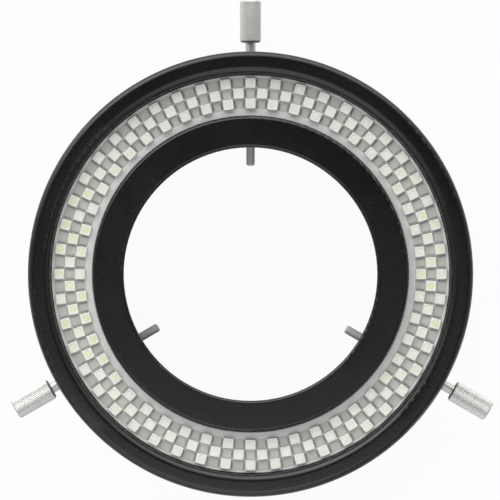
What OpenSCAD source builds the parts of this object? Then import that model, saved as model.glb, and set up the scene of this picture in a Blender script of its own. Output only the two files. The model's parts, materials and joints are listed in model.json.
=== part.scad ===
// Microscope ring light: a ring of white LEDs in a black housing that slips over an
// objective and is clamped there by three knurled thumb screws.
// Millimetres. The lamp lies on its back: the bore axis is Z, the back face is z = 0,
// the light leaves towards +Z. Thumb screw 1 points along +Y, the power inlet along -Y.

/* [Housing] */
// Diameter of the seat that slips over the objective
bore_d = 61; // [50:0.5:80]
// Length of that seat, from the back face
seat_l = 5; // [3:0.5:6]
// Draft of the bore in front of the seat, in degrees; the bore narrows towards the front
bore_draft = 2.6; // [1:0.1:2.8]
// Thickness of the bore tube at the seat
tube_wall = 2.5; // [2:0.1:3.2]
// Distance from the seat's wall to the LED recess
front_ring_w = 6.5; // [5.5:0.1:9]
// Rounding from the LED recess up to the rim
recess_round = 1.8; // [1:0.1:2]
// Width of the flat rim and its rounded outer edge
rim_w = 3.5; // [3.2:0.1:6]
// Overall height
body_h = 24; // [22.5:0.5:32]
// Wall thickness
wall = 2; // [1.6:0.1:2.6]
// Thickness of the tray floor behind the LED board
floor_t = 2; // [1.5:0.1:3]
// Thickness of the rear cover
cover_t = 2.4; // [2.2:0.1:3]
// Rounding of the rim's outer edge
edge_r = 1.5; // [0.5:0.1:1.8]
// Rounding of the front ring's two edges
lip_r = 0.8; // [0.3:0.1:1.4]
// Chamfer of the edges at the back
back_chamfer = 0.4; // [0.2:0.1:0.5]

/* [LED board] */
// LEDs in each row
led_count = 48; // [24:12:60]
// Side of a square LED
led_s = 2.4; // [1.6:0.1:2.8]
// Height of an LED
led_h = 0.8; // [0.6:0.1:1.2]
// Diameter of the light window in an LED
lens_d = 1.9; // [1.2:0.1:2.1]
// Depth of the light window
lens_t = 0.3; // [0.2:0.05:0.5]
// Space between the rows of LEDs
row_gap = 0.05; // [0.05:0.05:1]
// Bare margin inside the inner row
margin_in = 1.8; // [1:0.1:3]
// Bare margin outside the outer row
margin_out = 0.8; // [0.3:0.1:2]
// Thickness of the board
board_t = 1.6; // [1:0.1:2]
// Depth of the board's face behind the front of the housing
board_depth = 3.3; // [2.8:0.1:5]
// Height of the standoffs under the board
standoff_h = 2; // [1.2:0.1:3]
// Outer diameter of a standoff
standoff_d = 4.2; // [3.6:0.1:5]
// Length of a chip resistor, around the ring
chip_l = 1.6; // [1:0.1:2]
// Width of a chip resistor
chip_w = 0.8; // [0.5:0.1:1.2]
// Height of a chip resistor
chip_h = 0.5; // [0.3:0.05:0.7]

/* [Thumb screws] */
// Thread diameter
thread_d = 2.5; // [2.4:0.1:3]
// Pitch of the thread
thread_pitch = 0.45; // [0.35:0.05:0.5]
// Diameter of the knurled knob
knob_d = 5; // [4.4:0.1:8]
// Length of the knob
knob_l = 10; // [6:0.5:14]
// Distance from the housing to the knob of the first screw as shown
knob_gap = 2.8; // [2.6:0.1:5]
// Chamfer at the ends of the knob
knob_chamfer = 0.4; // [0.2:0.1:0.8]
// Ridges around the knob
knurl_count = 34; // [20:1:40]
// Depth of the grooves between the ridges
knurl_depth = 0.1; // [0.05:0.05:0.3]
// Reach of the first screw's tip inside the seat as shown
tip_reach = 4.8; // [3:0.1:8]
// Diameter of the tip
tip_d = 2; // [1.6:0.1:2.3]
// Length of the tip in front of the thread
tip_l = 5.2; // [4.8:0.1:6]
// Diameter of the tip's stem in the screw
stem_d = 1.2; // [0.8:0.1:1.5]
// Length of that stem
stem_l = 3; // [2:0.1:5]
// Outer diameter of a brass insert
insert_d = 4; // [3.6:0.1:5]
// Length of an insert
insert_l = 6; // [5.5:0.5:8]
// Plastic left in front of an insert
insert_skin = 1.7; // [1.3:0.1:2.5]
// Thickness of the plastic around an insert
boss_wall = 1.6; // [1:0.1:2]
// Diameter of an insert's flange
collar_d = 5.4; // [5.2:0.1:6.5]
// Thickness of that flange
collar_t = 0.6; // [0.4:0.1:1]

/* [Fasteners] */
// Cover screws around the ring
cover_screw_count = 6; // [3:3:6]
// Shank diameter of a cover screw
cover_screw_d = 2.2; // [2:0.1:2.5]
// Length of its shank
cover_screw_l = 8; // [6:0.5:9]
// Head diameter of a cover screw
cover_head_d = 4; // [3.6:0.1:4.4]
// Head height of a cover screw
cover_head_h = 1.3; // [1:0.1:1.5]
// Plastic around a cover screw's hole
cover_boss_wall = 1.7; // [1.2:0.1:2.5]
// Board screws around the ring
board_screw_count = 3; // [3:3:6]
// Shank diameter of a board screw
board_screw_d = 2; // [1.6:0.1:2.5]
// Head diameter of a board screw
board_head_d = 3.8; // [3.2:0.1:4.2]
// Head height of a board screw
board_head_h = 1.2; // [0.8:0.1:1.4]
// Width of the arms of the cross in a screw head
cross_w = 0.6; // [0.4:0.1:0.8]
// Length across that cross
cross_l = 2.4; // [1.6:0.1:3]
// Depth of that cross
cross_t = 0.7; // [0.4:0.1:0.9]

/* [Power inlet] */
// Outer diameter of the inlet's barrel
jack_d = 8; // [7.4:0.1:9]
// Diameter of its socket
socket_d = 5.7; // [5.5:0.1:6.2]
// Depth of its socket
socket_l = 8.6; // [7:0.1:9]
// Thickness of its back wall
jack_back_t = 1.4; // [1:0.1:2]
// Diameter of its flange, and of the pad that it seats on
jack_flange_d = 10; // [9.6:0.1:10.2]
// Thickness of the flange
jack_flange_t = 1.5; // [1:0.1:2]
// Height of the pad inside the outer wall
pad_t = 2; // [1:0.1:3]
// Depth of the inlet's face behind the outer wall
jack_recess = 0.6; // [0.4:0.1:1.5]
// Diameter of the centre pin
pin_d = 2.1; // [1.9:0.1:2.5]
// Diameter of the pin's root, pressed into the back wall
pin_root_d = 2.8; // [2.6:0.1:3.4]
// Depth of the pin's end behind the inlet's face
pin_recess = 1; // [0.5:0.1:2]
// Length of the contacts behind the inlet
tail_l = 1.2; // [0.8:0.1:2]
// Thickness of the spring contact
spring_t = 0.4; // [0.3:0.05:0.5]
// Width of the spring contact
spring_w = 2; // [1.5:0.1:2.4]
// Bow of the spring contact into the socket
spring_bow = 0.35; // [0.2:0.05:0.6]
// Length of that bow
bow_l = 4.4; // [3:0.1:5]
// Straight end of the spring contact in front of the bow
bow_front = 1; // [0.5:0.1:1.4]
// Diameter of a wire
wire_d = 1.3; // [1:0.1:1.6]
// Bend radius of a wire
wire_bend = 1.6; // [1.2:0.1:2]

/* [Fits] */
// Clearance around what turns, on the radius
turn_gap = 0.05; // [0.03:0.01:0.1]
// Clearance around what is pressed in, on the radius
press_gap = 0.02; // [0.01:0.01:0.05]
// Clearance of a hole that a screw or wire passes through, on the radius
hole_gap = 0.2; // [0.1:0.05:0.4]
// Clearance along the edges of the board and the cover
seat_gap = 0.15; // [0.1:0.05:0.3]

/* [Hidden] */
$fn = 96;

// How far a cut runs past the surface that it opens
cut = 0.5;
rows = 3;
thumb_screws = 3;
full_turn = 360;
// Directions around the bore axis, from +X
first_screw_a = 90;
first_board_screw_a = 45;
jack_a = 270;
screw_a = [for (i = [0:thumb_screws - 1]) first_screw_a + i * full_turn / thumb_screws];
cover_screw_a = [for (i = [0:cover_screw_count - 1]) i * full_turn / cover_screw_count];
board_screw_a = [for (i = [0:board_screw_count - 1]) first_board_screw_a + i * full_turn / board_screw_count];

// Turns by which each thumb screw stands further out than the first
screw_turns = [0, -1, 1];

// Radii, from the bore outwards
seat_r = bore_d / 2;
front_r = seat_r - (body_h - seat_l) * tan(bore_draft);
tube_r = seat_r + tube_wall;
recess_in_r = seat_r + front_ring_w;
row_r = [for (i = [0:rows - 1]) recess_in_r + margin_in + led_s / 2 + i * (led_s + row_gap)];
recess_out_r = row_r[rows - 1] + led_s / 2 + margin_out;
outer_r = recess_out_r + recess_round + rim_w;
outer_wall_r = outer_r - wall;
cover_screw_r = (tube_r + outer_wall_r) / 2;
board_screw_r = row_r[1];
chip_r = row_r[rows - 1];

// Heights, from the front face back
board_top_z = body_h - board_depth;
board_z = board_top_z - board_t;
tray_z = board_z - standoff_h;
floor_z = tray_z - floor_t;
// The thumb screws and the inlet lie midway between the cover and the tray floor
screw_z = (cover_t + floor_z) / 2;

// Places along a thumb screw, as radii
knob_in_r = outer_r + knob_gap;
tip_end_r = seat_r - tip_reach;
stud_end_r = tip_end_r + tip_l;
insert_in_r = seat_r + insert_skin;
insert_out_r = insert_in_r + insert_l;
boss_d = insert_d + 2 * boss_wall;
cover_boss_d = cover_screw_d + 2 * cover_boss_wall;

// Places along the inlet, as radii
jack_face_r = outer_r - jack_recess;
jack_back_r = jack_face_r - socket_l - jack_back_t;
tail_r = jack_back_r - tail_l;
wire_r = tail_r - wire_bend;
pad_r = outer_wall_r - pad_t;
// Middle of the spring contact, beside the socket
spring_y = socket_d / 2 + spring_t / 2 + turn_gap;
// Front end of the spring contact, level with the end of the pin
spring_front_r = jack_face_r - pin_recess;

black = [0.09, 0.09, 0.1];
white = [0.92, 0.92, 0.9];
nickel = [0.72, 0.72, 0.72];
brass = [0.78, 0.62, 0.3];
phosphor = [0.95, 0.93, 0.75];

// Turns a part that is drawn along Z so that it points outwards at one side of the ring
module at_side(angle) {
    rotate([0, 0, angle]) translate([0, 0, screw_z]) rotate([0, 90, 0]) children();
}

// A cylinder between two distances along Z
module rod(d, from, to) {
    translate([0, 0, from]) cylinder(d = d, h = to - from);
}

// A copy of what follows at each angle, at one radius and height
module around(angles, r, z) {
    for (a = angles) rotate([0, 0, a]) translate([r, 0, z]) children();
}

// A rectangle of the housing's section, by radius and height
module band(r_in, r_out, z_low, z_high) {
    translate([r_in, z_low]) square([r_out - r_in, z_high - z_low]);
}

// What rounding takes off a corner of a section; the signs say which way the corner points
module corner_round(r, z, size, side_r, side_z) {
    centre = [r - side_r * size, z - side_z * size];
    difference() {
        translate(centre + [side_r, side_z] * (size + cut) / 2) square(size + cut, center = true);
        translate(centre) circle(size);
    }
}

// What a chamfer takes off a corner of a section
module corner_chamfer(r, z, size, side_r, side_z) {
    polygon([[r - side_r * size, z + side_z * cut], [r + side_r * cut, z + side_z * cut],
        [r + side_r * cut, z - side_z * size], [r, z - side_z * size], [r - side_r * size, z]]);
}

// Half section of the housing: bore tube, front ring, LED tray, rounded rim and outer wall
module housing_section() {
    difference() {
        union() {
            polygon([[seat_r, 0], [tube_r, 0], [tube_r, body_h], [front_r, body_h], [seat_r, seat_l]]);
            band(tube_r - wall / 2, recess_in_r, body_h - wall, body_h);
            band(recess_in_r - wall, recess_in_r, floor_z, body_h);
            band(recess_in_r - wall, recess_out_r + wall, floor_z, tray_z);
            band(recess_out_r, recess_out_r + wall, floor_z, body_h);
            band(recess_out_r, outer_r, body_h - wall, body_h);
            band(outer_wall_r, outer_r, 0, body_h);
        }
        corner_round(recess_out_r, body_h, recess_round, -1, 1);
        corner_round(outer_r, body_h, edge_r, 1, 1);
        corner_round(front_r, body_h, lip_r, -1, 1);
        corner_round(recess_in_r, body_h, lip_r, 1, 1);
        corner_chamfer(seat_r, 0, back_chamfer, -1, -1);
        corner_chamfer(outer_r, 0, back_chamfer, 1, -1);
    }
}

module lamp_housing() {
    color(black) difference() {
        union() {
            rotate_extrude() housing_section();
            for (a = screw_a) at_side(a) rod(boss_d, tube_r - wall / 2, insert_out_r);
            around(cover_screw_a, cover_screw_r, 0) rod(cover_boss_d, cover_t, floor_z + floor_t / 2);
            at_side(jack_a) rod(jack_flange_d, pad_r, outer_r - wall / 2);
        }
        for (a = screw_a) at_side(a) {
            rod(thread_d + 2 * hole_gap, front_r - cut, outer_r + cut);
            rod(insert_d + 2 * press_gap, insert_in_r, insert_out_r + cut);
        }
        around(cover_screw_a, cover_screw_r, 0)
            rod(cover_screw_d + 2 * press_gap, cover_t - cut, cover_t + cover_screw_l + cut);
        around(board_screw_a, board_screw_r, 0)
            rod(board_screw_d + 2 * hole_gap, floor_z - cut, tray_z + cut);
        at_side(jack_a) rod(jack_d + 2 * press_gap, pad_r - cut, outer_r + cut);
        for (y = [0, spring_y]) rotate([0, 0, jack_a]) translate([wire_r, y, 0])
            rod(wire_d + 2 * hole_gap, floor_z - cut, tray_z + cut);
    }
}

// Flat ring in the back, with sunk screws and the rib that traps the inlet's flange
module rear_cover() {
    rib_t = jack_flange_t;
    rib_w = jack_d + 2 * wall;
    rib_r = pad_r - jack_flange_t - seat_gap - rib_t;
    color(black) difference() {
        union() {
            rod(2 * (outer_wall_r - seat_gap), 0, cover_t);
            rotate([0, 0, jack_a]) translate([rib_r, -rib_w / 2, cover_t / 2])
                cube([rib_t, rib_w, screw_z - cover_t / 2]);
        }
        rod(2 * (tube_r + seat_gap), -cut, cover_t + cut);
        around(cover_screw_a, cover_screw_r, 0) {
            rod(cover_screw_d + 2 * hole_gap, -cut, cover_t + cut);
            rod(cover_head_d + 2 * hole_gap, -cut, cover_head_h);
        }
        at_side(jack_a) rod(jack_d + 2 * hole_gap, rib_r - cut, pad_r);
    }
}

// Pan head screw with a cross recess, its head below z = 0 and its shank above
module screw(shank_d, shank_l, head_d, head_h) {
    round_r = head_h / 3;
    difference() {
        union() {
            rod(shank_d, -head_h / 2, shank_l);
            rotate_extrude() difference() {
                band(0, head_d / 2, -head_h, 0);
                corner_round(head_d / 2, -head_h, round_r, 1, -1);
            }
        }
        for (a = [0, 90]) rotate([0, 0, a]) translate([-cross_l / 2, -cross_w / 2, -head_h - cut])
            cube([cross_l, cross_w, cross_t + cut]);
    }
}

module cover_screws() {
    color(nickel) around(cover_screw_a, cover_screw_r, cover_head_h)
        screw(cover_screw_d, cover_screw_l, cover_head_d, cover_head_h);
}

module board_screws() {
    color(nickel) around(board_screw_a, board_screw_r, floor_z)
        screw(board_screw_d, floor_t + standoff_h - seat_gap, board_head_d, board_head_h);
}

module board_standoffs() {
    color(nickel) around(board_screw_a, board_screw_r, 0) difference() {
        rod(standoff_d, tray_z, board_z);
        rod(board_screw_d + 2 * press_gap, tray_z - cut, board_z + cut);
    }
}

module led_board() {
    color(white) difference() {
        rod(2 * (recess_out_r - seat_gap), board_z, board_top_z);
        rod(2 * (recess_in_r + seat_gap), board_z - cut, board_top_z + cut);
    }
}

// Directions of the LEDs in a row; every other row is turned by half a step
function led_angles(row) = [for (i = [0:led_count - 1]) (i + (row % 2) / 2) * full_turn / led_count];

// Square LED package with the cup that its light window fills
module led() {
    difference() {
        translate([-led_s / 2, -led_s / 2, 0]) cube([led_s, led_s, led_h]);
        rod(lens_d, led_h - lens_t, led_h + cut);
    }
}

module led_row(row) {
    color(white) around(led_angles(row), row_r[row], board_top_z) led();
}

module leds_inner_row() {
    led_row(0);
}

module leds_middle_row() {
    led_row(1);
}

module leds_outer_row() {
    led_row(2);
}

module led_lenses() {
    color(phosphor) for (row = [0:rows - 1]) around(led_angles(row), row_r[row], board_top_z)
        rod(lens_d - 2 * press_gap, led_h - lens_t, led_h - press_gap);
}

module chip_resistors() {
    color(black) around(led_angles(1), chip_r, board_z - chip_h)
        translate([-chip_w / 2, -chip_l / 2, 0]) cube([chip_w, chip_l, chip_h]);
}

// Barrel of the power inlet, with a socket in front, a flange and a slot for the spring contact
module jack_body() {
    socket_r = jack_back_r + jack_back_t;
    slot_w = spring_w + 2 * turn_gap;
    slot_y = spring_y + spring_t / 2 + turn_gap;
    slot_end_r = spring_front_r + turn_gap;
    color(black) at_side(jack_a) difference() {
        union() {
            rod(jack_d, jack_back_r, jack_face_r);
            rod(jack_flange_d, pad_r - jack_flange_t, pad_r);
        }
        rod(socket_d, socket_r, jack_face_r + cut);
        rod(pin_root_d + 2 * press_gap, jack_back_r - cut, socket_r + cut);
        translate([-slot_w / 2, 0, socket_r]) cube([slot_w, slot_y, slot_end_r - socket_r]);
        translate([-slot_w / 2, slot_y - spring_t - 2 * turn_gap, jack_back_r - cut])
            cube([slot_w, spring_t + 2 * turn_gap, socket_r - jack_back_r + 2 * cut]);
    }
}

// Centre pin: a thick root in the back wall, the free pin and its tapered nose
module jack_pin() {
    nose = pin_d / 4;
    nose_r = jack_face_r - pin_recess - nose;
    color(nickel) at_side(jack_a) {
        rod(pin_root_d, tail_r, jack_back_r + jack_back_t);
        rod(pin_d, jack_back_r, nose_r);
        translate([0, 0, nose_r]) cylinder(d1 = pin_d, d2 = pin_d - 2 * nose, h = nose);
    }
}

// Leaf that presses on the plug: straight, with a bow into the socket
module jack_spring() {
    inner_y = spring_y - spring_t / 2;
    outer_y = spring_y + spring_t / 2;
    bow_out_r = spring_front_r - bow_front;
    bow_mid_r = bow_out_r - bow_l / 2;
    bow_in_r = bow_out_r - bow_l;
    color(nickel) at_side(jack_a) rotate([0, -90, 0]) linear_extrude(spring_w, center = true)
        polygon([[tail_r, inner_y], [bow_in_r, inner_y], [bow_mid_r, inner_y - spring_bow],
            [bow_out_r, inner_y], [spring_front_r, inner_y], [spring_front_r, outer_y],
            [bow_out_r, outer_y], [bow_mid_r, outer_y - spring_bow], [bow_in_r, outer_y],
            [tail_r, outer_y]]);
}

// Wire from a contact of the inlet, round one bend and up to the back of the board
module wire(y) {
    rotate([0, 0, jack_a]) translate([wire_r, y, screw_z]) {
        translate([wire_bend, 0, wire_bend]) rotate([90, 0, 0]) rotate([0, 0, 180])
            rotate_extrude(angle = 90) translate([wire_bend, 0]) circle(d = wire_d);
        rod(wire_d, wire_bend, board_z - screw_z);
    }
}

module red_wire() {
    color("firebrick") wire(0);
}

module black_wire() {
    color(black) wire(spring_y);
}

module insert(i) {
    color(brass) at_side(screw_a[i - 1]) difference() {
        union() {
            rod(insert_d, insert_in_r, insert_out_r);
            rod(collar_d, insert_out_r, insert_out_r + collar_t);
        }
        rod(thread_d + 2 * turn_gap, insert_in_r - cut, insert_out_r + collar_t + cut);
    }
}

// Outline of the knob across its axis, with straight ridges
function knurl(r) = [for (i = [0:2 * knurl_count - 1])
    let (a = i * full_turn / (2 * knurl_count), p = r - (i % 2) * knurl_depth) p * [cos(a), sin(a)]];

// Turns a thumb screw's piece to its side and moves it out by the screw's turns
module at_screw(i) {
    at_side(screw_a[i - 1]) translate([0, 0, screw_turns[i - 1] * thread_pitch]) children();
}

// Turned screw: knurled knob, threaded stud and the blind hole for the tip's stem
module thumb_screw(i) {
    knob_r = knob_d / 2;
    end_r = knob_r - knob_chamfer;
    past_r = knob_r + cut;
    color(nickel) at_screw(i) difference() {
        union() {
            rod(thread_d, stud_end_r, knob_in_r + knob_l / 2);
            translate([0, 0, knob_in_r]) intersection() {
                linear_extrude(knob_l) polygon(knurl(knob_r));
                rotate_extrude() polygon([[0, 0], [end_r, 0], [past_r, past_r - end_r],
                    [past_r, knob_l - past_r + end_r], [end_r, knob_l], [0, knob_l]]);
            }
        }
        rod(stem_d + 2 * turn_gap, stud_end_r - cut, stud_end_r + stem_l + seat_gap);
    }
}

// Soft tip with a rounded nose; its stem turns in the end of the screw
module tip(i) {
    tip_r = tip_d / 2;
    color([0.5, 0.5, 0.5]) at_screw(i) rotate_extrude() union() {
        difference() {
            band(0, tip_r, tip_end_r, stud_end_r - turn_gap);
            corner_round(tip_r, tip_end_r, tip_r / 2, 1, -1);
        }
        band(0, stem_d / 2, stud_end_r - tip_l / 2, stud_end_r + stem_l);
    }
}

lamp_housing();
rear_cover();
cover_screws();
led_board();
leds_inner_row();
leds_middle_row();
leds_outer_row();
led_lenses();
chip_resistors();
board_standoffs();
board_screws();
jack_body();
jack_pin();
jack_spring();
red_wire();
black_wire();
insert(1);  // insert_1
insert(2);  // insert_2
insert(3);  // insert_3
thumb_screw(1);  // thumb_screw_1
thumb_screw(2);  // thumb_screw_2
thumb_screw(3);  // thumb_screw_3
tip(1);  // tip_1
tip(2);  // tip_2
tip(3);  // tip_3
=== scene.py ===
"""Dresses the frame of a microscope ring light: its fine pieces, finishes, light and camera."""

import json
import math

import bmesh
import bpy
from mathutils import Matrix, Vector

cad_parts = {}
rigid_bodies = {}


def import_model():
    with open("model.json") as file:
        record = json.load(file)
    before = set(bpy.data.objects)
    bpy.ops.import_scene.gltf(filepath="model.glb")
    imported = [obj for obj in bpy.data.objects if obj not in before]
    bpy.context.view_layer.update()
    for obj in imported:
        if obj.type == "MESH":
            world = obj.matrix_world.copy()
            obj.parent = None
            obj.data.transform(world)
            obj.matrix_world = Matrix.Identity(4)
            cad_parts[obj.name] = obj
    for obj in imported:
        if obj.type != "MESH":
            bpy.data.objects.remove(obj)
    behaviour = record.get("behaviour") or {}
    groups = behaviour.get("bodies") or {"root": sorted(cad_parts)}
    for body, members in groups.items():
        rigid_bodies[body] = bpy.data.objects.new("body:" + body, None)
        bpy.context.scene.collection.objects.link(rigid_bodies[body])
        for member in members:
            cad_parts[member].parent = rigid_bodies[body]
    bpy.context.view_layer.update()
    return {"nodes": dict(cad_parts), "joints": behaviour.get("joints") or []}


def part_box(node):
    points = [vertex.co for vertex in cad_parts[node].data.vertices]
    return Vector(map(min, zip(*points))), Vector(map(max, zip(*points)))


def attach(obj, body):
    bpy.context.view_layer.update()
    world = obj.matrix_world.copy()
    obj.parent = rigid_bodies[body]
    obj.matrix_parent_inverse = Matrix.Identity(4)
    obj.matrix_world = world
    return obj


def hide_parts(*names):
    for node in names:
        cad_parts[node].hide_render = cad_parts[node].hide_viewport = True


bl_info = {
    "name": "Microscope Ring Light",
    "version": (1, 0, 0),
    "blender": (4, 5, 0),
    "location": "View3D > Sidebar > Ring Light",
    "description": "Models the fine pieces and finishes of a ring light around its frame",
    "category": "Object",
}

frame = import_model()

MM = 0.001
FULL_TURN = 2 * math.pi
# Points closer than this are one point
MERGE = 0.0005 * MM
# Edges that turn by more than this stay sharp
SHARP = math.radians(32)
# Steps around the board, around a small turned piece, around the thread and around the cup of an LED
BOARD_STEPS = 192
TURNED_STEPS = 40
THREAD_STEPS = 20
CUP_STEPS = 16

# Places that the frame gives
HOUSING_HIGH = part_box("lamp_housing")[1]
BOARD_LOW, BOARD_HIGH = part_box("led_board")
SCREW_LOW, SCREW_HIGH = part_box("thumb_screw_1")
TIP_LOW, TIP_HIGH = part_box("tip_1")
SCREW_JOINTS = [joint for joint in frame["joints"] if joint["type"] == "hinge"]
KNOB_START = Vector(SCREW_JOINTS[0]["pos_m"]).xy.length
ROWS = ("inner", "middle", "outer")

# Lamps of the studio: where each stands in metres, the side of its square and its power
LAMPS = {
    "key_light": {"place": (-0.5, 0.7, 0.62), "side": 0.7, "watts": 1.5},
    "fill_light": {"place": (-0.06, -0.225, 0.25), "side": 0.35, "watts": 0.36},
    "sheen_light": {"place": (0.02, -0.355, 1.16), "side": 0.5, "watts": 1.1},
}


def length(name, description, millimetres):
    """A property that holds a length"""
    return bpy.props.FloatProperty(name=name, description=description, default=millimetres * MM, min=0.0,
                                   subtype="DISTANCE", unit="LENGTH", precision=5)


def count(name, description, number):
    """A property that holds a number of like things"""
    return bpy.props.IntProperty(name=name, description=description, default=number, min=3)


def colour(name, description, red, green, blue):
    """A property that holds a linear colour"""
    return bpy.props.FloatVectorProperty(name=name, description=description, default=(red, green, blue),
                                         min=0.0, max=1.0, subtype="COLOR")


class RingLightSizes(bpy.types.PropertyGroup):
    """Sizes of the fine pieces"""

    board_bore: length("Board bore", "Diameter of the hole in the LED board", 74.3)
    board_edge: length("Board edge", "Broken edge of the LED board", 0.12)
    led_count: count("LEDs per row", "LEDs in each row", 48)
    led_side: length("LED side", "Side of a square LED", 2.4)
    led_height: length("LED height", "Height of an LED above the board", 0.8)
    led_edge: length("LED edge", "Broken upper edge of an LED", 0.09)
    led_corner: length("LED corner", "Rounding of an LED's corners", 0.14)
    cup_diameter: length("Cup diameter", "Mouth of the cup in an LED", 1.9)
    cup_depth: length("Cup depth", "Depth of the cup in an LED", 0.3)
    cup_draft: length("Cup draft", "How far the cup's wall leans in", 0.12)
    dome_rise: length("Dome rise", "Rise of the light window in its cup", 0.07)
    window_gap: length("Window gap", "Gap between a light window and its cup", 0.02)
    lead_width: length("Lead width", "Width of an LED's leads", 1.3)
    lead_reach: length("Lead reach", "How far a lead stands out of the LED", 0.4)
    lead_height: length("Lead height", "Height of a lead beside the LED", 0.45)
    pad_width: length("Pad width", "Width of a solder pad, along the radius", 1.7)
    pad_length: length("Pad length", "Length of a solder pad, around the ring", 0.85)
    pad_height: length("Pad height", "Height of a solder pad above the board", 0.05)
    thread_pitch: length("Thread pitch", "Pitch of the thumb screws' thread", 0.45)
    thread_diameter: length("Thread diameter", "Diameter of that thread over its crests", 2.5)
    shank_diameter: length("Shank diameter", "Diameter of the smooth shank between thread and knob", 2.4)
    shank_length: length("Shank length", "Length of that shank", 3.8)
    knob_diameter: length("Knob diameter", "Diameter of a knob over its ridges", 5.0)
    knob_chamfer: length("Knob chamfer", "Chamfer at the ends of a knob", 0.4)
    knob_dimple: length("Knob dimple", "Diameter of the turned dimple in a knob's end", 1.6)
    ridge_count: count("Ridges", "Ridges around a knob", 34)
    ridge_depth: length("Ridge depth", "Depth of the grooves between the ridges", 0.1)
    tip_diameter: length("Tip diameter", "Diameter of a screw's tip", 2.0)
    tip_length: length("Tip length", "Length of the tip in front of the thread", 5.15)
    tip_edge: length("Tip edge", "Broken edges at the back of a tip and of its stem", 0.1)
    stem_diameter: length("Stem diameter", "Diameter of the tip's stem in the screw", 1.2)
    stem_gap: length("Stem gap", "Gap around that stem", 0.05)


class RingLightColours(bpy.types.PropertyGroup):
    """Colours of the finishes"""

    housing: colour("Housing", "Moulded black plastic", 0.0025, 0.0027, 0.0032)
    housing_worn: colour("Housing, worn", "The same plastic where edges are rubbed", 0.035, 0.035, 0.036)
    # The board between the LEDs is darker than the margin: painted shade between the LEDs
    board_field_painted_shade: colour("Board field", "Board between the LEDs", 0.56, 0.56, 0.52)
    # The margin is the board's own pale bare margin, made paler still as painted light against the shade of
    # the walls
    board_margin_and_painted_light: colour("Board margin", "Bare margin of the board", 0.78, 0.78, 0.77)
    led_white: colour("LED", "White package of an LED", 0.86, 0.86, 0.815)
    phosphor: colour("Light window", "Unlit phosphor in an LED", 0.85, 0.855, 0.78)
    phosphor_strong: colour("Light window, strong", "Phosphor of the yellower LEDs", 0.80, 0.83, 0.55)
    solder: colour("Solder", "Tinned leads and pads", 0.46, 0.46, 0.44)
    nickel: colour("Nickel", "Plated thumb screws", 0.69, 0.685, 0.67)
    tip: colour("Tip", "Grey plastic tips of the thumb screws", 0.53, 0.53, 0.52)
    steel: colour("Steel", "Zinc plated screws and standoffs", 0.52, 0.53, 0.54)
    brass: colour("Brass", "Thread inserts", 0.60, 0.42, 0.16)
    inlet: colour("Inlet", "Black body of the power inlet", 0.012, 0.012, 0.012)
    resistor: colour("Resistor", "Chip resistors behind the board", 0.02, 0.02, 0.022)
    red_wire: colour("Red wire", "Insulation of the positive wire", 0.42, 0.02, 0.015)
    black_wire: colour("Black wire", "Insulation of the negative wire", 0.014, 0.014, 0.015)


class Signal:
    """An output of a shader node that takes part in Python expressions"""

    def __init__(self, graph, socket):
        self.graph = graph
        self.socket = socket

    def beside(self, output):
        """Another output of the same node"""
        return Signal(self.graph, self.socket.node.outputs[output])

    def math(self, operation, *others):
        """A Math node on this and other values"""
        return self.graph.node("ShaderNodeMath", {"operation": operation}, dict(enumerate((self, *others))))

    def __add__(self, other):
        return self.math("ADD", other)

    def __sub__(self, other):
        return self.math("SUBTRACT", other)

    def __rsub__(self, other):
        return self.math("MULTIPLY_ADD", -1.0, other)

    def __mul__(self, other):
        return self.math("MULTIPLY", other)

    def __truediv__(self, other):
        return self.math("DIVIDE", other)

    __radd__ = __add__
    __rmul__ = __mul__

    def step(self, start, end):
        """Rises smoothly from 0 to 1 between two values, or falls where the first is larger"""
        low, high, flip = (start, end, False) if start < end else (end, start, True)
        rise = self.graph.node("ShaderNodeMapRange", {"interpolation_type": "SMOOTHSTEP"},
                               {"Value": self, "From Min": low, "From Max": high})
        return 1 - rise if flip else rise


class Graph:
    """A node tree that is built up call by call"""

    def __init__(self, tree):
        self.tree = tree

    def feed(self, socket, value):
        """Links a socket to a signal or sets its value"""
        if isinstance(value, Signal):
            self.tree.links.new(value.socket, socket)
        else:
            socket.default_value = value

    def node(self, kind, settings=None, inputs=None, output=0):
        """Adds a node: its settings first, then the values or links of its sockets"""
        new = self.tree.nodes.new(kind)
        for name, value in (settings or {}).items():
            setattr(new, name, value)
        for key, value in (inputs or {}).items():
            self.feed(new.inputs[key], value)
        return Signal(self, new.outputs[output])

    def mix(self, factor, first, second):
        """Blends two colours"""
        inputs = {"Factor": factor, 6: first, 7: second}
        return self.node("ShaderNodeMix", {"data_type": "RGBA"}, inputs, 2)


class Finish(Graph):
    """A procedural material on the piece's own coordinates"""

    def __init__(self, name, **constants):
        self.material = bpy.data.materials.new(name)
        self.material.use_nodes = True
        super().__init__(self.material.node_tree)
        self.shader = self.tree.nodes["Principled BSDF"]
        self.place = self.node("ShaderNodeTexCoord", output="Object")
        self.set(**constants)

    def set(self, **values):
        """Sets or links sockets of the shader, named with underscores for spaces"""
        for name, value in values.items():
            self.feed(self.shader.inputs[name.replace("_", " ")], value)

    def noise(self, size, detail=2.0):
        """Noise whose features are about one size"""
        inputs = {"Vector": self.place, "Scale": 1 / size, "Detail": detail}
        return self.node("ShaderNodeTexNoise", None, inputs)

    def polar(self):
        """Distance from the ring's axis, turns around it and height"""
        x = self.node("ShaderNodeSeparateXYZ", None, {"Vector": self.place})
        y, z = x.beside("Y"), x.beside("Z")
        radius = (x * x + y * y).math("SQRT")
        turns = y.math("ARCTAN2", x) / FULL_TURN
        return radius, turns, z

    def shades(self, factor, rgb, darkest, lightest):
        """A colour that runs from a darker to a lighter share of itself"""
        return self.mix(factor, tint(rgb, darkest), tint(rgb, lightest))

    def bump(self, height, distance):
        """Raises the surface by a height between 0 and 1 times a distance"""
        self.set(Normal=self.node("ShaderNodeBump", None, {"Height": height, "Distance": distance}))


def opaque(rgb):
    """A colour with its alpha"""
    return (*rgb, 1.0)


def grey(value):
    """An opaque grey"""
    return (value, value, value, 1.0)


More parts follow.
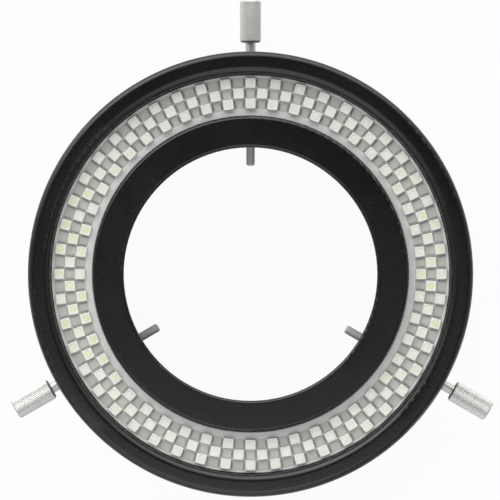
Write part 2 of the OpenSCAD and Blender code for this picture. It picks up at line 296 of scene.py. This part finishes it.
def tint(rgb, factor):
    """A colour made lighter or darker"""
    return opaque(min(1.0, part * factor) for part in rgb)


def plastic(name, rgb, roughness, grain_size, grain_depth):
    """Plain moulded plastic: slight clouds in its colour and gloss, and a fine grain"""
    cloud_size = 9 * MM
    cloud_gloss, grain_gloss = 0.1, 0.06
    finish = Finish(name)
    cloud = finish.noise(cloud_size, detail=3.0)
    grain = finish.noise(grain_size, detail=3.0)
    finish.set(Base_Color=finish.shades(cloud, rgb, darkest=0.8, lightest=1.2))
    finish.set(Roughness=roughness - grain_gloss + cloud * cloud_gloss + grain * grain_gloss)
    finish.bump(grain, grain_depth)
    return finish.material


def metal(name, rgb, roughness, mark_gap):
    """Turned and plated metal: marks around the ring's axis, across the thumb screws, and slight stains"""
    stain_size, speck_size = 1.7 * MM, 0.12 * MM
    stain_gloss, speck_gloss = 0.16, 0.06
    mark_height, speck_height = 0.3, 0.5
    relief = 0.0015 * MM
    finish = Finish(name, Metallic=1.0)
    radius, _, _ = finish.polar()
    stain = finish.noise(stain_size, detail=4.0)
    speck = finish.noise(speck_size)
    marks = (radius / mark_gap * FULL_TURN).math("SINE")
    finish.set(Base_Color=finish.shades(stain, rgb, darkest=0.82, lightest=1.14))
    finish.set(Roughness=roughness - stain_gloss / 2 + stain * stain_gloss + speck * speck_gloss)
    finish.bump(marks * mark_height + speck * speck_height, relief)
    return finish.material


def housing_finish(colours):
    """Black moulded plastic with a fine spark grain, rubbed along its outer edges"""
    cloud_size, grain_size, rub_size = 14 * MM, 0.35 * MM, 1.6 * MM
    rub_starts, rub_is_full = 1.6 * MM, 0.5 * MM
    cloud_share, most_worn = 0.4, 0.35
    smoothest, cloud_gloss, grain_gloss = 0.2, 0.1, 0.06
    grain_depth = 0.016 * MM
    finish = Finish("moulded_black_plastic")
    radius, _, height = finish.polar()
    cloud = finish.noise(cloud_size, detail=3.0)
    grain = finish.noise(grain_size, detail=3.0)
    rub = finish.noise(rub_size, detail=5.0).step(0.5, 0.68)

    def near_edge(edge_height):
        across, along = radius - HOUSING_HIGH.x, height - edge_height
        return (across * across + along * along).math("SQRT").step(rub_starts, rub_is_full)

    worn = (near_edge(HOUSING_HIGH.z) + near_edge(0.0)) * rub * most_worn
    shade = cloud * cloud_share + grain.step(0.35, 0.75) * (1 - cloud_share)
    base = finish.shades(shade, colours.housing, darkest=0.4, lightest=2.0)
    finish.set(Base_Color=finish.mix(worn, base, opaque(colours.housing_worn)))
    finish.set(Roughness=smoothest + cloud * cloud_gloss + grain * grain_gloss)
    finish.bump(grain, grain_depth)
    return finish.material


def board_finish(colours, sizes):
    """Pale solder mask with copper tracks under it and a fine weave: darker between the LEDs as painted
    shade, and paler in the margins, which is partly the board's own bare margin and partly painted light
    against the shade of the walls
    """
    cloud_size, weave_size = 3.5 * MM, 0.3 * MM
    smoothest, weave_gloss = 0.42, 0.12
    track_height, weave_height = 0.8, 0.15
    relief = 0.03 * MM
    track_strength = 0.5
    spoke_turn = 0.25
    finish = Finish("solder_mask", Specular_IOR_Level=0.4)
    radius, turns, _ = finish.polar()
    first, last = row_radius(sizes, 0), row_radius(sizes, len(ROWS) - 1)
    row_gap = (last - first) / (len(ROWS) - 1)
    full, bare = 0.42 * row_gap, 0.55 * row_gap
    # populated marks where the LEDs stand; there the darker field gives painted shade between them
    populated = radius.step(first - bare, first - full) * radius.step(last + bare, last + full)

    def tracks(place, full_width, no_width):
        off_middle = (place.math("FRACT") - 0.5).math("ABSOLUTE")
        return off_middle.step(no_width, full_width)

    rings = tracks((radius - first) / row_gap, 0.1, 0.14)
    spokes = tracks(turns * sizes.led_count + spoke_turn, 0.05, 0.075)
    copper = rings.math("MAXIMUM", spokes) * populated
    cloud = finish.noise(cloud_size, detail=3.0)
    weave = finish.noise(weave_size)
    # Field: painted shade between the LEDs; margin: pale board margin with painted light against the walls'
    # shade
    field = finish.shades(cloud, colours.board_field_painted_shade, darkest=0.86, lightest=1.14)
    field = finish.mix(copper * track_strength, field, tint(colours.board_field_painted_shade, 0.8))
    margin = finish.shades(cloud, colours.board_margin_and_painted_light, darkest=0.94, lightest=1.06)
    finish.set(Base_Color=finish.mix(populated, margin, field))
    finish.set(Roughness=smoothest + weave * weave_gloss)
    finish.bump(copper * track_height + weave * weave_height, relief)
    return finish.material


def led_signal(finish, sizes):
    """A random number between 0 and 1 for each LED, from its place in its row"""
    radius, turns, _ = finish.polar()
    first, last = row_radius(sizes, 0), row_radius(sizes, len(ROWS) - 1)
    half_step = (turns * (2 * sizes.led_count)).math("ROUND")
    row = ((radius - first) / (last - first) * (len(ROWS) - 1)).math("ROUND")
    cell = finish.node("ShaderNodeCombineXYZ", None, {"X": half_step, "Y": row})
    return finish.node("ShaderNodeTexWhiteNoise", {"noise_dimensions": "3D"}, {"Vector": cell})


def led_finish(colours, sizes):
    """White package plastic, a little different from LED to LED"""
    grain_size, grain_depth = 0.09 * MM, 0.006 * MM
    smoothest, grain_gloss = 0.38, 0.14
    finish = Finish("led_package_plastic")
    chance = led_signal(finish, sizes)
    grain = finish.noise(grain_size)
    finish.set(Base_Color=finish.shades(chance, colours.led_white, darkest=0.93, lightest=1.04))
    finish.set(Roughness=smoothest + grain * grain_gloss)
    finish.bump(grain, grain_depth)
    return finish.material


def window_finish(colours, sizes):
    """Phosphor in clear silicone, grainy under a glossy skin, yellower in some LEDs on two sides"""
    grain_size, grain_depth = 0.07 * MM, 0.004 * MM
    smoothest, grain_gloss = 0.3, 0.15
    sides = 2
    finish = Finish("phosphor_window", IOR=1.42, Coat_Weight=0.35, Coat_Roughness=0.12)
    chance = led_signal(finish, sizes).step(0.2, 0.9)
    _, turns, _ = finish.polar()
    at_sides = (turns * (sides * FULL_TURN)).math("COSINE").step(-0.6, 1.0)
    grain = finish.noise(grain_size, detail=3.0)
    pale, strong = (finish.shades(grain, rgb, darkest=0.92, lightest=1.06)
                    for rgb in (colours.phosphor, colours.phosphor_strong))
    finish.set(Base_Color=finish.mix(chance * at_sides, pale, strong))
    finish.set(Roughness=smoothest + grain * grain_gloss)
    finish.bump(grain, grain_depth)
    return finish.material


def row_radius(sizes, row):
    """Radius of the middle of a row of LEDs"""
    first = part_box("leds_inner_row")[1].x - sizes.led_side / 2
    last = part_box("leds_outer_row")[1].x - sizes.led_side / 2
    return first + (last - first) * row / (len(ROWS) - 1)


def arc(centre, radius, start, end, steps):
    """Points of a round stretch of an outline, between two angles in degrees"""
    angles = [math.radians(start + (end - start) * i / steps) for i in range(steps + 1)]
    return [(centre[0] + radius * math.cos(a), centre[1] + radius * math.sin(a)) for a in angles]


def revolve(bm, outline, steps):
    """Spins a closed outline of radii and heights once around Z"""
    verts = [bm.verts.new((radius, 0, height)) for radius, height in outline]
    edges = [bm.edges.new(pair) for pair in zip(verts, verts[1:] + verts[:1])]
    bmesh.ops.spin(bm, geom=verts + edges, cent=(0, 0, 0), axis=(0, 0, 1), dvec=(0, 0, 0),
                   angle=FULL_TURN, steps=steps, use_merge=True)


def on_circle(co, radius, z):
    """Brings a point to a radius and a height, in the direction that it has"""
    flat = co.xy.normalized() * radius
    return Vector((flat.x, flat.y, z))


def ring_edges(verts):
    """Edges between the points of one loop"""
    loop = set(verts)
    return [edge for edge in {e for v in verts for e in v.link_edges} if set(edge.verts) <= loop]


def extrude_loop(bm, edges, place):
    """Extrudes a loop of edges and moves each new point to where place puts it"""
    made = bmesh.ops.extrude_edge_only(bm, edges=edges)["geom"]
    verts = [item for item in made if isinstance(item, bmesh.types.BMVert)]
    for vert in verts:
        vert.co = place(vert.co)
    return ring_edges(verts)


def screw_matrix(joint):
    """Takes what is drawn along Z, where the first screw stands, to the screw that a joint turns"""
    place = Vector(joint["pos_m"])
    turn = Matrix.Rotation(math.atan2(place.y, place.x), 4, "Z")
    lift = Matrix.Translation((place.xy.length - KNOB_START, 0, place.z))
    return turn @ lift @ Matrix.Rotation(FULL_TURN / 4, 4, "Y")


def make_piece(name, bm, body, material, slot, *nodes):
    """Turns a finished bmesh into a piece that rides on a body and stands for some nodes"""
    bmesh.ops.remove_doubles(bm, verts=bm.verts, dist=MERGE)
    bmesh.ops.recalc_face_normals(bm, faces=bm.faces)
    mesh = bpy.data.meshes.new(name)
    bm.to_mesh(mesh)
    bm.free()
    mesh.shade_smooth()
    mesh.set_sharp_from_angle(angle=SHARP)
    mesh.materials.append(material)
    piece = bpy.data.objects.new(name, mesh)
    bpy.context.scene.collection.objects.link(piece)
    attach(piece, body)
    if nodes:
        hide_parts(*nodes)
    return piece


def dress(material, *nodes):
    """Gives nodes of the frame their finish"""
    for node in nodes:
        for slot in frame["nodes"][node].material_slots:
            slot.material = material


def settings():
    """The sizes and colours that are set in the sidebar"""
    scene = bpy.context.scene
    return scene.ring_light_sizes, scene.ring_light_colours


def around_row(bm, sizes, row, build):
    """Builds one shape where an LED stands and repeats it around its row"""
    old = set(bm.verts)
    build(bm, sizes)
    verts = [vert for vert in bm.verts if vert not in old]
    edges = list({edge for vert in verts for edge in vert.link_edges})
    faces = list({face for vert in verts for face in vert.link_faces})
    step = FULL_TURN / sizes.led_count
    half_step = step * (row % 2) / 2
    bmesh.ops.translate(bm, verts=verts, vec=(row_radius(sizes, row), 0, BOARD_HIGH.z))
    bmesh.ops.rotate(bm, verts=verts, cent=(0, 0, 0), matrix=Matrix.Rotation(half_step, 3, "Z"))
    bmesh.ops.spin(bm, geom=verts + edges + faces, cent=(0, 0, 0), axis=(0, 0, 1), dvec=(0, 0, 0),
                   angle=FULL_TURN - step, steps=sizes.led_count - 1, use_duplicate=True)


def build_led(bm, sizes):
    """Square package with broken edges and a cup in its top, foot at z = 0"""
    half, top = sizes.led_side / 2, sizes.led_height
    mouth = sizes.cup_diameter / 2
    floor_radius, floor = mouth - sizes.cup_draft, top - sizes.cup_depth
    corner_cut = sizes.led_corner * (math.sqrt(2) - 1)

    def on_square(co, side, z):
        reach = side / max(abs(co.x), abs(co.y))
        point = Vector((co.x * reach, co.y * reach, z))
        if abs(abs(point.x) - abs(point.y)) < MERGE:
            point.xy -= point.xy.normalized() * corner_cut
        return point

    ring = bmesh.ops.create_circle(bm, cap_ends=True, radius=half, segments=CUP_STEPS)["verts"]
    for vert in ring:
        vert.co = on_square(vert.co, half, 0)
    edges = ring_edges(ring)
    edges = extrude_loop(bm, edges, lambda co: on_square(co, half, top - sizes.led_edge))
    edges = extrude_loop(bm, edges, lambda co: on_square(co, half - sizes.led_edge, top))
    edges = extrude_loop(bm, edges, lambda co: on_circle(co, mouth, top))
    edges = extrude_loop(bm, edges, lambda co: on_circle(co, floor_radius, floor))
    bmesh.ops.contextual_create(bm, geom=edges)


def build_window(bm, sizes):
    """Domed fill of the cup"""
    gap = sizes.window_gap
    rim = sizes.cup_diameter / 2 - 2 * gap
    foot = sizes.cup_diameter / 2 - gap - sizes.cup_draft
    floor = sizes.led_height - sizes.cup_depth + gap
    brim = sizes.led_height - sizes.dome_rise - gap
    # Loops of the dome, from its rim up: shares of the rim's radius and of the rise
    dome = ((1.0, 0.0), (0.6, 0.75), (0.18, 1.0))
    ring = bmesh.ops.create_circle(bm, cap_ends=True, radius=foot, segments=CUP_STEPS,
                                   matrix=Matrix.Translation((0, 0, floor)))["verts"]
    edges = ring_edges(ring)
    for share, rise in dome:
        edges = extrude_loop(bm, edges, lambda co: on_circle(co, rim * share, brim + sizes.dome_rise * rise))
    bmesh.ops.contextual_create(bm, geom=edges)


def build_leads(bm, sizes):
    """Two leads with their solder fillets, and the pads under them"""
    half, reach = sizes.led_side / 2, sizes.lead_reach
    hidden = reach / 2
    slope, taper = 0.55 * reach, 0.9
    for side in (-1, 1):
        pad_middle = side * (half - hidden + sizes.pad_length / 2)
        pad = Matrix.LocRotScale((0, pad_middle, sizes.pad_height / 2), None,
                                 (sizes.pad_width, sizes.pad_length, sizes.pad_height))
        bmesh.ops.create_cube(bm, size=1.0, matrix=pad)
        lead_middle = side * (half + (reach - hidden) / 2)
        lead = Matrix.LocRotScale((0, lead_middle, sizes.pad_height + sizes.lead_height / 2), None,
                                  (sizes.lead_width, reach + hidden, sizes.lead_height))
        for vert in bmesh.ops.create_cube(bm, size=1.0, matrix=lead)["verts"]:
            if vert.co.y * side > half and vert.co.z > sizes.lead_height / 2:
                vert.co.y -= side * slope
                vert.co.x *= taper


def add_thread(bm, sizes, start, end, hole_radius, hole_depth):
    """Threaded rod along Z with a blind hole in its first end"""
    pitch = sizes.thread_pitch
    # Proportions of a metric thread, in pitches
    depth, root_flat, crest_flat = 0.613, 1 / 4, 1 / 8
    flank = (1 - root_flat - crest_flat) / 2
    crest_start = root_flat + flank
    crest_end = crest_start + crest_flat
    crest = sizes.thread_diameter / 2
    root = crest - depth * pitch
    turns = math.ceil((end - start) / pitch) + 2
    # The turns meet where their points are this close
    seam = 0.005 * MM
    outline = [(root, 0), (root, root_flat), (crest, crest_start), (crest, crest_end), (root, 1)]
    verts = [bm.verts.new((radius, 0, start + (share - 1) * pitch)) for radius, share in outline]
    edges = [bm.edges.new(pair) for pair in zip(verts, verts[1:])]
    bmesh.ops.spin(bm, geom=verts + edges, cent=(0, 0, 0), axis=(0, 0, 1), dvec=(0, 0, pitch / THREAD_STEPS),
                   angle=FULL_TURN * turns, steps=THREAD_STEPS * turns)
    bmesh.ops.remove_doubles(bm, verts=bm.verts, dist=seam)

    def trim(height, outwards):
        everything = bm.verts[:] + bm.edges[:] + bm.faces[:]
        cut = bmesh.ops.bisect_plane(bm, geom=everything, plane_co=(0, 0, height), plane_no=(0, 0, outwards),
                                     clear_outer=True)["geom_cut"]
        return [item for item in cut if isinstance(item, bmesh.types.BMEdge)]

    bmesh.ops.contextual_create(bm, geom=trim(end, 1))
    rim = trim(start, -1)
    mouth = bmesh.ops.create_circle(bm, cap_ends=False, radius=hole_radius, segments=THREAD_STEPS,
                                    matrix=Matrix.Translation((0, 0, start)))["verts"]
    mouth_edges = ring_edges(mouth)
    bottom = extrude_loop(bm, mouth_edges, lambda co: Vector((co.x, co.y, start + hole_depth)))
    bmesh.ops.contextual_create(bm, geom=bottom)
    bmesh.ops.triangle_fill(bm, use_beauty=True, edges=rim + mouth_edges)


def add_shank(bm, sizes, start, end):
    """Smooth shank along Z, rounded where it meets the thread"""
    radius = sizes.shank_diameter / 2
    edge = radius / 5
    outline = [(0, start)] + arc((radius - edge, start + edge), edge, -90, 0, 4) + [(radius, end), (0, end)]
    revolve(bm, outline, TURNED_STEPS)


def add_knob(bm, sizes, start, end):
    """Knob with straight ridges, chamfered ends and a turned dimple in the outer end"""
    # Depth of the groove at the points from one ridge to the next
    dips = (0.0, 0.45, 1.0, 0.45)
    full = sizes.knob_diameter / 2
    end_radius = full - sizes.knob_chamfer
    dimple = sizes.knob_dimple / 2
    dimple_floor, dimple_depth = 0.8 * dimple, 0.25 * dimple
    segments = sizes.ridge_count * len(dips)

    def ridge(co, z, inwards):
        place = round(math.atan2(co.y, co.x) / FULL_TURN * segments) % len(dips)
        radius = full - sizes.ridge_depth * dips[place]
        return on_circle(co, radius, z + inwards * (radius - end_radius))

    ring = bmesh.ops.create_circle(bm, cap_ends=True, radius=end_radius, segments=segments,
                                   matrix=Matrix.Translation((0, 0, start)))["verts"]
    edges = extrude_loop(bm, ring_edges(ring), lambda co: ridge(co, start, 1))
    edges = extrude_loop(bm, edges, lambda co: ridge(co, end, -1))
    edges = extrude_loop(bm, edges, lambda co: on_circle(co, end_radius, end))
    edges = extrude_loop(bm, edges, lambda co: on_circle(co, dimple, end))
    edges = extrude_loop(bm, edges, lambda co: on_circle(co, dimple_floor, end - dimple_depth))
    bmesh.ops.contextual_create(bm, geom=edges)


class RINGLIGHT_OT_housing(bpy.types.Operator):
    """Make the moulded housing with even shading on its roundings, and finish the rear cover"""

    bl_idname = "ring_light.housing"
    bl_label = "Housing"

    def execute(self, context):
        _, colours = settings()
        finish = housing_finish(colours)
        bm = bmesh.new()
        bm.from_mesh(frame["nodes"]["lamp_housing"].data)
        moulding = make_piece("housing_moulding", bm, "lamp", finish, "housing_plastic", "lamp_housing")
        shading = moulding.modifiers.new("even_shading", "WEIGHTED_NORMAL")
        shading.keep_sharp = True
        dress(finish, "rear_cover")
        return {"FINISHED"}


class RINGLIGHT_OT_board(bpy.types.Operator):
    """Make the LED board"""

    bl_idname = "ring_light.board"
    bl_label = "LED board"

    def execute(self, context):
        sizes, colours = settings()
        inner, outer, edge = sizes.board_bore / 2, BOARD_HIGH.x, sizes.board_edge
        low, high = BOARD_LOW.z, BOARD_HIGH.z
        outline = [(inner + edge, high), (outer - edge, high), (outer, high - edge), (outer, low + edge)]
        outline += [(outer - edge, low), (inner + edge, low), (inner, low + edge), (inner, high - edge)]
        bm = bmesh.new()
        revolve(bm, outline, BOARD_STEPS)
        make_piece("board_ring", bm, "lamp", board_finish(colours, sizes), "board_white", "led_board")
        return {"FINISHED"}


class RINGLIGHT_OT_leds(bpy.types.Operator):
    """Make the rows of LEDs, their light windows and their leads"""

    bl_idname = "ring_light.leds"
    bl_label = "LEDs"

    def execute(self, context):
        sizes, colours = settings()
        package = led_finish(colours, sizes)
        for row, name in enumerate(ROWS):
            bm = bmesh.new()
            around_row(bm, sizes, row, build_led)
            make_piece(f"led_packages_{name}", bm, "lamp", package, "led_package", f"leds_{name}_row")
        windows, leads = bmesh.new(), bmesh.new()
        for row in range(len(ROWS)):
            around_row(windows, sizes, row, build_window)
            around_row(leads, sizes, row, build_leads)
        make_piece("led_windows", windows, "lamp", window_finish(colours, sizes), "led_window", "led_lenses")
        solder = metal("tinned_solder", colours.solder, roughness=0.42, mark_gap=0.3 * MM)
        make_piece("led_leads", leads, "lamp", solder, "inlet_contact")
        return {"FINISHED"}


class RINGLIGHT_OT_thumb_screws(bpy.types.Operator):
    """Make the threaded, knurled thumb screws"""

    bl_idname = "ring_light.thumb_screws"
    bl_label = "Thumb screws"

    def execute(self, context):
        sizes, colours = settings()
        nickel = metal("plated_nickel", colours.nickel, roughness=0.52, mark_gap=0.16 * MM)
        shank_start = KNOB_START - sizes.shank_length
        hole_radius = sizes.stem_diameter / 2 + sizes.stem_gap
        hole_depth = TIP_HIGH.y - SCREW_LOW.y + sizes.stem_gap
        for joint in SCREW_JOINTS:
            body = joint["child"]
            bm = bmesh.new()
            add_thread(bm, sizes, SCREW_LOW.y, shank_start + sizes.thread_pitch, hole_radius, hole_depth)
            add_shank(bm, sizes, shank_start, KNOB_START + sizes.knob_chamfer)
            add_knob(bm, sizes, KNOB_START, SCREW_HIGH.y)
            bm.transform(screw_matrix(joint))
            make_piece(f"{body}_turned", bm, body, nickel, "thumb_screw_nickel", body)
        return {"FINISHED"}


class RINGLIGHT_OT_tips(bpy.types.Operator):
    """Make the swivelling tips of the thumb screws"""

    bl_idname = "ring_light.tips"
    bl_label = "Tips"

    def execute(self, context):
        sizes, colours = settings()
        nylon = plastic("dark_nylon", colours.tip, roughness=0.45, grain_size=0.12 * MM,
                        grain_depth=0.006 * MM)
        radius, stem, edge = sizes.tip_diameter / 2, sizes.stem_diameter / 2, sizes.tip_edge
        nose = radius / 2
        base = TIP_LOW.y + sizes.tip_length
        outline = [(0, TIP_LOW.y)] + arc((radius - nose, TIP_LOW.y + nose), nose, -90, 0, 8)
        outline += [(radius, base - edge), (radius - edge, base), (stem, base)]
        outline += [(stem, TIP_HIGH.y - edge), (stem - edge, TIP_HIGH.y), (0, TIP_HIGH.y)]
        for joint in SCREW_JOINTS:
            node = joint["parent"]
            bm = bmesh.new()
            revolve(bm, outline, TURNED_STEPS)
            bm.transform(screw_matrix(joint))
            make_piece(f"{node}_nylon", bm, node, nylon, "tip_nylon", node)
        return {"FINISHED"}


class RINGLIGHT_OT_inner_pieces(bpy.types.Operator):
    """Finish the fasteners, the inlet and what the housing holds"""

    bl_idname = "ring_light.inner_pieces"
    bl_label = "Fasteners, inlet and wiring"

    def execute(self, context):
        _, colours = settings()
        steel = metal("zinc_plated_steel", colours.steel, roughness=0.32, mark_gap=0.2 * MM)
        brass = metal("turned_brass", colours.brass, roughness=0.3, mark_gap=0.2 * MM)
        dress(steel, "cover_screws", "board_screws", "board_standoffs", "jack_spring", "jack_pin")
        dress(brass, "insert_1", "insert_2", "insert_3")
        # Name, colour, roughness, size and depth of the grain, and node of each small plastic piece
        plastics = (
            ("inlet_plastic_black", colours.inlet, 0.4, 0.2 * MM, 0.008 * MM, "jack_body"),
            ("resistor_glaze", colours.resistor, 0.3, 0.1 * MM, 0.004 * MM, "chip_resistors"),
            ("red_insulation", colours.red_wire, 0.4, 0.15 * MM, 0.004 * MM, "red_wire"),
            ("black_insulation", colours.black_wire, 0.4, 0.15 * MM, 0.004 * MM, "black_wire"),
        )
        for *finish, node in plastics:
            dress(plastic(*finish), node)
        return {"FINISHED"}


class RINGLIGHT_OT_stage(bpy.types.Operator):
    """Set up the floor, the studio light and the camera"""

    bl_idname = "ring_light.stage"
    bl_label = "Stage"

    def execute(self, context):
        make_floor()
        make_world()
        for name, lamp in LAMPS.items():
            add_lamp(name, **lamp)
        add_camera()
        context.scene.view_settings.view_transform = "Standard"
        return {"FINISHED"}


def make_floor():
    """Pale floor under the lamp: it shows white, keeps a trace of the shadow and is clear from below"""
    half_side = 6.0
    whiteness = 0.95
    bm = bmesh.new()
    bmesh.ops.create_grid(bm, x_segments=1, y_segments=1, size=half_side)
    mesh = bpy.data.meshes.new("floor")
    bm.to_mesh(mesh)
    bm.free()
    floor = bpy.data.objects.new("floor", mesh)
    bpy.context.scene.collection.objects.link(floor)
    finish = Finish("pale_floor", Base_Color=grey(0.88), Roughness=0.9)
    camera_ray = finish.node("ShaderNodeLightPath", output="Is Camera Ray")
    other_rays = camera_ray.beside("Is Glossy Ray") + camera_ray.beside("Is Transmission Ray")
    seen = (camera_ray + other_rays) * whiteness
    white = finish.node("ShaderNodeEmission", None, {"Color": grey(1.0), "Strength": 1.0})
    shaded = Signal(finish, finish.shader.outputs[0])
    upper = finish.node("ShaderNodeMixShader", None, {0: seen, 1: shaded, 2: white})
    below = finish.node("ShaderNodeNewGeometry", output="Backfacing")
    clear = finish.node("ShaderNodeBsdfTransparent")
    surface = finish.node("ShaderNodeMixShader", None, {0: below, 1: upper, 2: clear})
    finish.feed(finish.tree.nodes["Material Output"].inputs["Surface"], surface)
    mesh.materials.append(finish.material)


def make_world():
    """A studio with pale walls, brighter towards a window, and a dim ceiling over the camera"""
    wall, window, ceiling = (0.52, 0.52, 0.53), (3.3, 3.3, 3.25), (0.06, 0.06, 0.065)
    window_x, window_y = -0.17, 0.985
    world = bpy.data.worlds.new("studio")
    world.use_nodes = True
    graph = Graph(world.node_tree)
    direction = graph.node("ShaderNodeTexCoord", output="Generated")
    x = graph.node("ShaderNodeSeparateXYZ", None, {"Vector": direction})
    y, height = x.beside("Y"), x.beside("Z")
    to_window = (x * window_x + y * window_y).step(0.2, 0.95)
    to_walls = height.math("ABSOLUTE").step(0.95, 0.6)
    walls = graph.mix(to_window, opaque(wall), opaque(window))
    air = graph.mix(to_walls, opaque(ceiling), walls)
    graph.feed(world.node_tree.nodes["Background"].inputs["Color"], air)
    bpy.context.scene.world = world


def add_lamp(name, place, side, watts):
    """Square soft light that faces the lamp"""
    data = bpy.data.lights.new(name, "AREA")
    data.shape = "SQUARE"
    data.size = side
    data.energy = watts
    lamp = bpy.data.objects.new(name, data)
    lamp.location = place
    lamp.rotation_euler = Vector(place).to_track_quat("Z", "Y").to_euler()
    bpy.context.scene.collection.objects.link(lamp)


def add_camera():
    """Camera that looks straight down on the front, a little towards the top thumb screw"""
    front_distance = 0.917
    aside, up = -0.12 * MM, 5.66 * MM
    data = bpy.data.cameras.new("camera")
    data.lens = 282.2
    data.sensor_width = 36.0
    data.clip_start = 0.01
    data.clip_end = 20.0
    camera = bpy.data.objects.new("camera", data)
    camera.location = (aside, up, HOUSING_HIGH.z + front_distance)
    bpy.context.scene.collection.objects.link(camera)
    bpy.context.scene.camera = camera


STEPS = (
    RINGLIGHT_OT_housing,
    RINGLIGHT_OT_board,
    RINGLIGHT_OT_leds,
    RINGLIGHT_OT_thumb_screws,
    RINGLIGHT_OT_tips,
    RINGLIGHT_OT_inner_pieces,
    RINGLIGHT_OT_stage,
)


class RINGLIGHT_PT_steps(bpy.types.Panel):
    """Lists the steps that dress the ring light"""

    bl_label = "Ring Light"
    bl_space_type = "VIEW_3D"
    bl_region_type = "UI"
    bl_category = "Ring Light"

    def draw(self, context):
        for step in STEPS:
            self.layout.operator(step.bl_idname)
        for group in settings():
            column = self.layout.column()
            for name in group.__annotations__:
                column.prop(group, name)


CLASSES = (RingLightSizes, RingLightColours, *STEPS, RINGLIGHT_PT_steps)


def register():
    """Registers the classes and the settings"""
    for item in CLASSES:
        bpy.utils.register_class(item)
    bpy.types.Scene.ring_light_sizes = bpy.props.PointerProperty(type=RingLightSizes)
    bpy.types.Scene.ring_light_colours = bpy.props.PointerProperty(type=RingLightColours)


def unregister():
    """Takes the settings and the classes out again"""
    del bpy.types.Scene.ring_light_colours
    del bpy.types.Scene.ring_light_sizes
    for item in reversed(CLASSES):
        bpy.utils.unregister_class(item)


def main():
    """Runs every step in order"""
    register()
    for step in STEPS:
        group, name = step.bl_idname.split(".")
        getattr(getattr(bpy.ops, group), name)()


if __name__ == "__main__":
    main()
